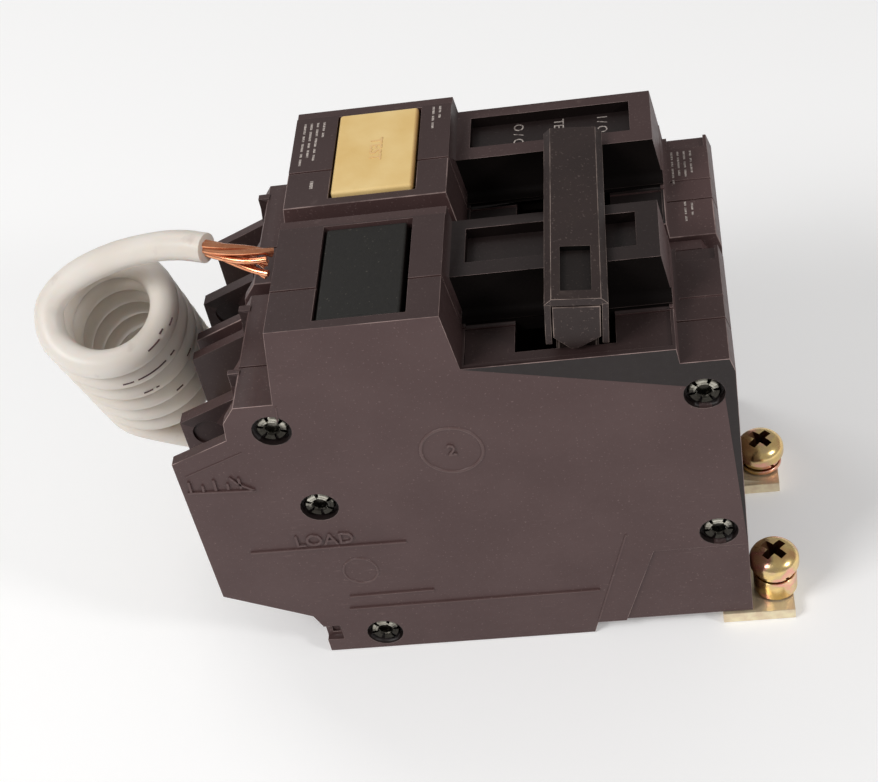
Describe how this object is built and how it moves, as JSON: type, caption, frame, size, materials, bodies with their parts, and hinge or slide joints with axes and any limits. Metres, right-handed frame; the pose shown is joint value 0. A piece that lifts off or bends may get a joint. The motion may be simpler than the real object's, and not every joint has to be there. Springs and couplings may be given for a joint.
{
  "type": "gfci breaker",
  "caption": "Two-pole bolt-on ground-fault circuit breaker with tied toggle handles, test button, line straps with screws and a coiled white neutral lead.",
  "frame": {"origin": "middle of the base plane under the breaker, measured without the coiled neutral lead", "axes": "+X from the load end to the line end, +Y from the near pole to the far pole, +Z from the mounting base up to the handle"},
  "size_m": [0.1136, 0.0508, 0.0708],
  "materials": {
    "phenolic": "brown-black moulded phenolic, satin with paler worn edges",
    "black_plastic": "black moulded plastic, satin",
    "yellow_plastic": "yellow-orange moulded plastic",
    "zinc": "yellow iridescent zinc plating on steel",
    "tin": "tin-plated copper and aluminium",
    "steel": "bright steel",
    "copper": "bright copper",
    "board": "green circuit board",
    "winding": "varnished winding",
    "insulation": "cream-white soft PVC"
  },
  "bodies": {
    "case": {"near_cover": "phenolic", "near_base": "phenolic", "far_cover": "phenolic", "far_base": "phenolic", "center_spacer": "phenolic", "blank_plug": "black_plastic", "near_line_strap": "tin", "near_load_lug": "tin", "near_arc_chute": "steel", "near_bimetal": "copper", "near_braid": "copper", "far_line_strap": "tin", "far_load_lug": "tin", "far_arc_chute": "steel", "far_bimetal": "copper", "far_braid": "copper", "test_spring": "steel", "rivet_1": "steel", "rivet_2": "steel", "rivet_3": "steel", "rivet_4": "steel", "rivet_5": "steel", "circuit_board": "board", "trip_solenoid": "winding", "sensing_coil": "winding", "pigtail_coil": "insulation", "pigtail_lead": "insulation", "pigtail_end": "insulation", "copper_strands": "copper"},
    "handle": {"near_handle": "black_plastic", "far_handle": "black_plastic", "handle_tie": "black_plastic", "near_toggle_spring": "steel", "far_toggle_spring": "steel"},
    "near_arm": {"near_contact_arm": "copper"},
    "far_arm": {"far_contact_arm": "copper"},
    "trip": {"trip_bar": "black_plastic"},
    "plunger": {"solenoid_plunger": "steel"},
    "test": {"test_button": "yellow_plastic"},
    "near_screw": {"near_line_screw": "zinc", "near_lock_washer": "zinc", "near_flat_washer": "zinc"},
    "far_screw": {"far_line_screw": "zinc", "far_lock_washer": "zinc", "far_flat_washer": "zinc"},
    "near_clamp": {"near_lug_screw": "steel"},
    "far_clamp": {"far_lug_screw": "steel"}
  },
  "joints": [
    {"name": "handle_hinge", "type": "hinge", "parent": "case", "child": "handle", "pos_m": [0.0146, 0, 0.04], "axis": [0, 1, 0], "range_deg": [-16, 6], "deforming": ["near_toggle_spring", "far_toggle_spring"]},
    {"name": "near_contact_hinge", "type": "hinge", "parent": "case", "child": "near_arm", "pos_m": [0.006, -0.0184, 0.03], "axis": [0, 1, 0], "range_deg": [-20, 7.5], "deforming": ["near_braid"]},
    {"name": "far_contact_hinge", "type": "hinge", "parent": "case", "child": "far_arm", "pos_m": [0.006, 0.0083, 0.03], "axis": [0, 1, 0], "range_deg": [-20, 7.5], "deforming": ["far_braid"]},
    {"name": "plunger_slide", "type": "slide", "parent": "case", "child": "plunger", "axis": [-1, 0, 0], "range_m": [0, 0.002], "stiffness_N_per_m": 60, "springref_m": -0.001},
    {"name": "trip_bar_hinge", "type": "hinge", "parent": "case", "child": "trip", "pos_m": [-0.004, 0, 0.02], "axis": [0, 1, 0], "range_deg": [0, 17]},
    {"name": "test_slide", "type": "slide", "parent": "case", "child": "test", "axis": [0, 0, -1], "range_m": [0, 0.0015], "stiffness_N_per_m": 500, "springref_m": -0.001, "deforming": ["test_spring"]},
    {"name": "near_line_screw_turn", "type": "hinge", "parent": "case", "child": "near_screw", "pos_m": [0.0413, -0.0202, 0], "axis": [0, 0, 1], "continuous": true},
    {"name": "near_lug_screw_turn", "type": "hinge", "parent": "case", "child": "near_clamp", "pos_m": [-0.0387, -0.0089, 0.036], "axis": [0, 0, 1], "continuous": true},
    {"name": "far_line_screw_turn", "type": "hinge", "parent": "case", "child": "far_screw", "pos_m": [0.0413, 0.0065, 0], "axis": [0, 0, 1], "continuous": true},
    {"name": "far_lug_screw_turn", "type": "hinge", "parent": "case", "child": "far_clamp", "pos_m": [-0.0387, 0.0178, 0.036], "axis": [0, 0, 1], "continuous": true}
  ],
  "couplings": [
    {"joint": "near_contact_hinge", "follows": "handle_hinge", "ratio": 1.25},
    {"joint": "far_contact_hinge", "follows": "handle_hinge", "ratio": 1.25},
    {"joint": "trip_bar_hinge", "follows": "plunger_slide", "rad_per_m": 143}
  ]
}
